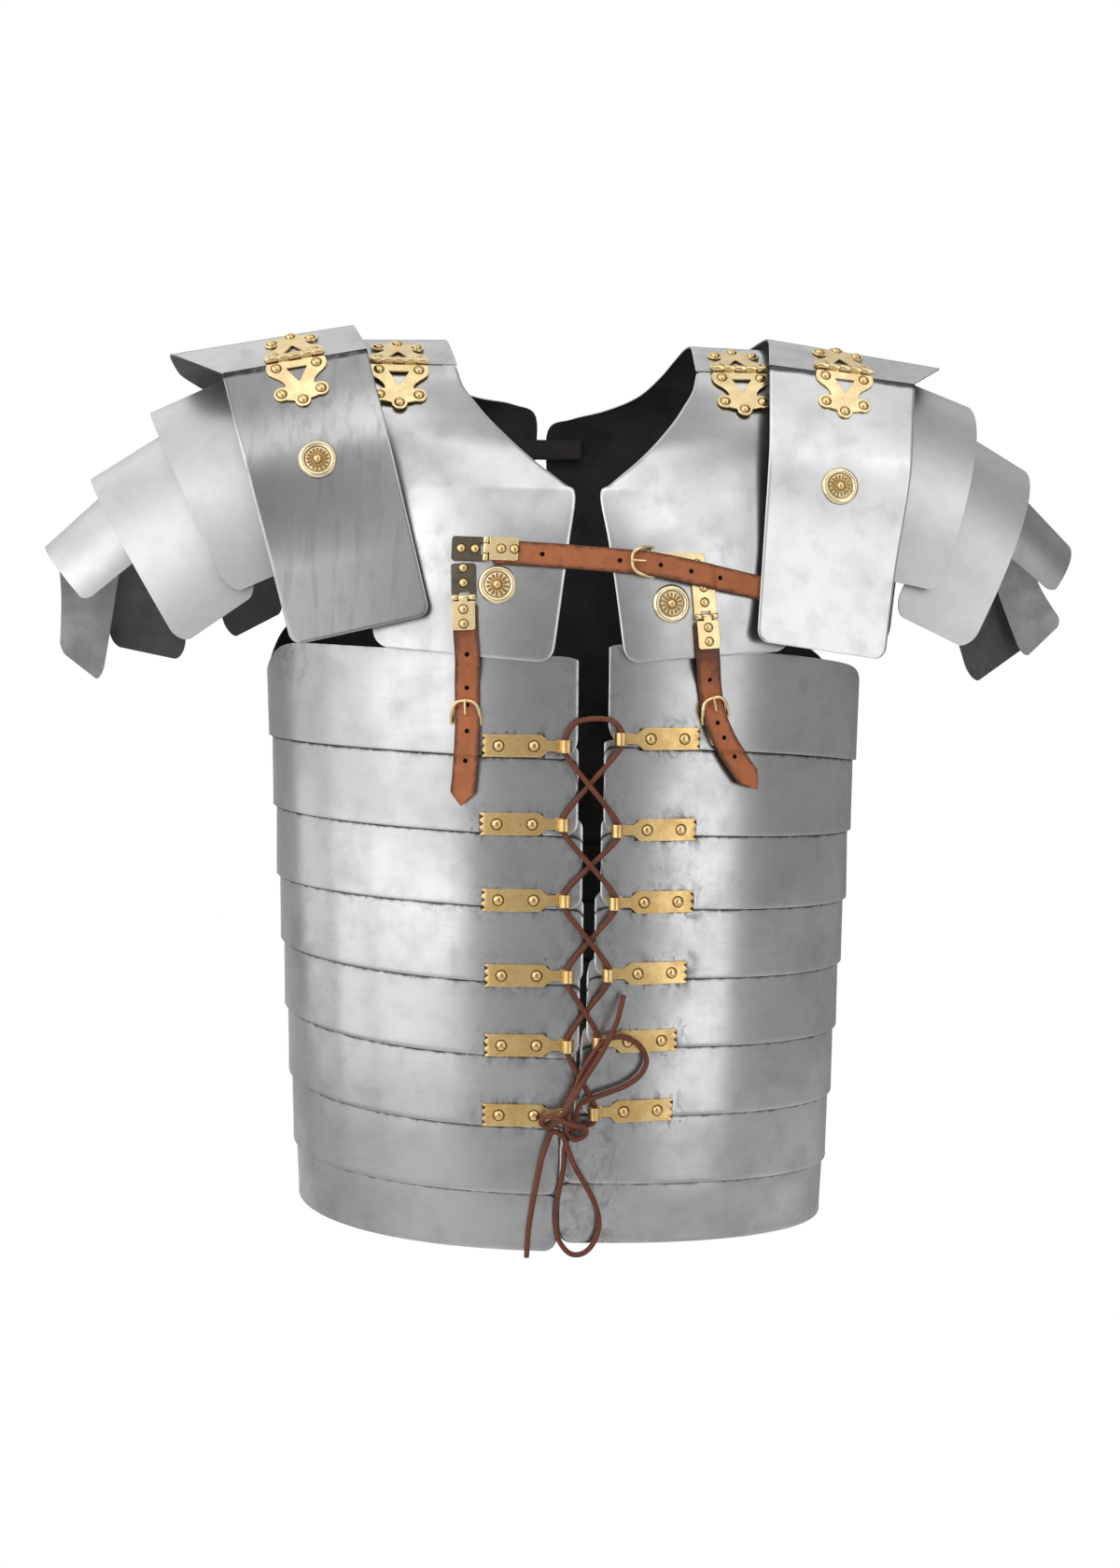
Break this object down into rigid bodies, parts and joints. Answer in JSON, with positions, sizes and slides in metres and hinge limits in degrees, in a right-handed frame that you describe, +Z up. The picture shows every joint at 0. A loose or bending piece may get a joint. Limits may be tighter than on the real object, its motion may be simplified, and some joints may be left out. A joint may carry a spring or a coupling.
{
  "type": "segmented plate body armour",
  "caption": "Segmented steel cuirass: overlapping girth bands laced in front, a two-part collar, layered shoulder guards, brass hinges and leather straps.",
  "frame": {"origin": "middle between the shoulders at the height of the collar's top, where the wearer's or the stand's shoulders carry the armour", "axes": "+Z up, +X towards the wearer's left, front of the armour towards -Y"},
  "size_m": [0.7461, 0.2973, 0.6023],
  "materials": {
    "steel": "bright sheet steel, lightly brushed, with light handling marks",
    "brass": "satin yellow brass",
    "leather": "smooth red-brown vegetable-tanned strap leather",
    "lace": "round dark red-brown leather lace"
  },
  "bodies": {
    "cuirass": {"back_strap": "leather", "breast_plate_left": "steel", "breast_plate_right": "steel", "buckle_collar": "brass", "buckle_left": "brass", "buckle_right": "brass", "collar_back_plate_left": "steel", "collar_back_plate_right": "steel", "collar_hinge_left": "brass", "collar_hinge_right": "brass", "girth_hoop_1": "steel", "girth_hoop_2": "steel", "girth_hoop_3": "steel", "girth_hoop_4": "steel", "girth_hoop_5": "steel", "girth_hoop_6": "steel", "girth_hoop_7": "steel", "girth_hoop_8": "steel", "lace": "lace", "lesser_guard_1_left": "steel", "lesser_guard_1_right": "steel", "lesser_guard_2_left": "steel", "lesser_guard_2_right": "steel", "lesser_guard_3_left": "steel", "lesser_guard_3_right": "steel", "rosette_breast_left": "brass", "rosette_breast_right": "brass", "shoulder_guard_back_left": "steel", "shoulder_guard_back_right": "steel", "shoulder_guard_top_left": "steel", "shoulder_guard_top_right": "steel", "shoulder_hinge_back_left": "brass", "shoulder_hinge_back_right": "brass", "shoulder_hinge_fixed_left": "brass", "shoulder_hinge_fixed_right": "brass", "strap_collar": "leather", "strap_fitting_collar": "brass", "strap_fitting_left": "brass", "strap_fitting_right": "brass", "strap_left": "leather", "strap_right": "leather", "tie_loop_left_1": "brass", "tie_loop_left_2": "brass", "tie_loop_left_3": "brass", "tie_loop_left_4": "brass", "tie_loop_left_5": "brass", "tie_loop_left_6": "brass", "tie_loop_right_1": "brass", "tie_loop_right_2": "brass", "tie_loop_right_3": "brass", "tie_loop_right_4": "brass", "tie_loop_right_5": "brass", "tie_loop_right_6": "brass"},
    "front_leaf_right": {"shoulder_guard_front_right": "steel", "shoulder_hinge_moving_right": "brass", "rosette_guard_right": "brass"},
    "front_leaf_left": {"shoulder_guard_front_left": "steel", "shoulder_hinge_moving_left": "brass", "rosette_guard_left": "brass"}
  },
  "joints": [
    {"name": "guard_hinge_right", "type": "hinge", "parent": "cuirass", "child": "front_leaf_right", "pos_m": [-0.18303, -0.09468, -0.02182], "axis": [-0.981, 0, -0.194], "range_deg": [0, 60]},
    {"name": "guard_hinge_left", "type": "hinge", "parent": "cuirass", "child": "front_leaf_left", "pos_m": [0.17484, -0.09435, -0.02055], "axis": [-0.9948, 0, 0.1015], "range_deg": [0, 60]}
  ]
}
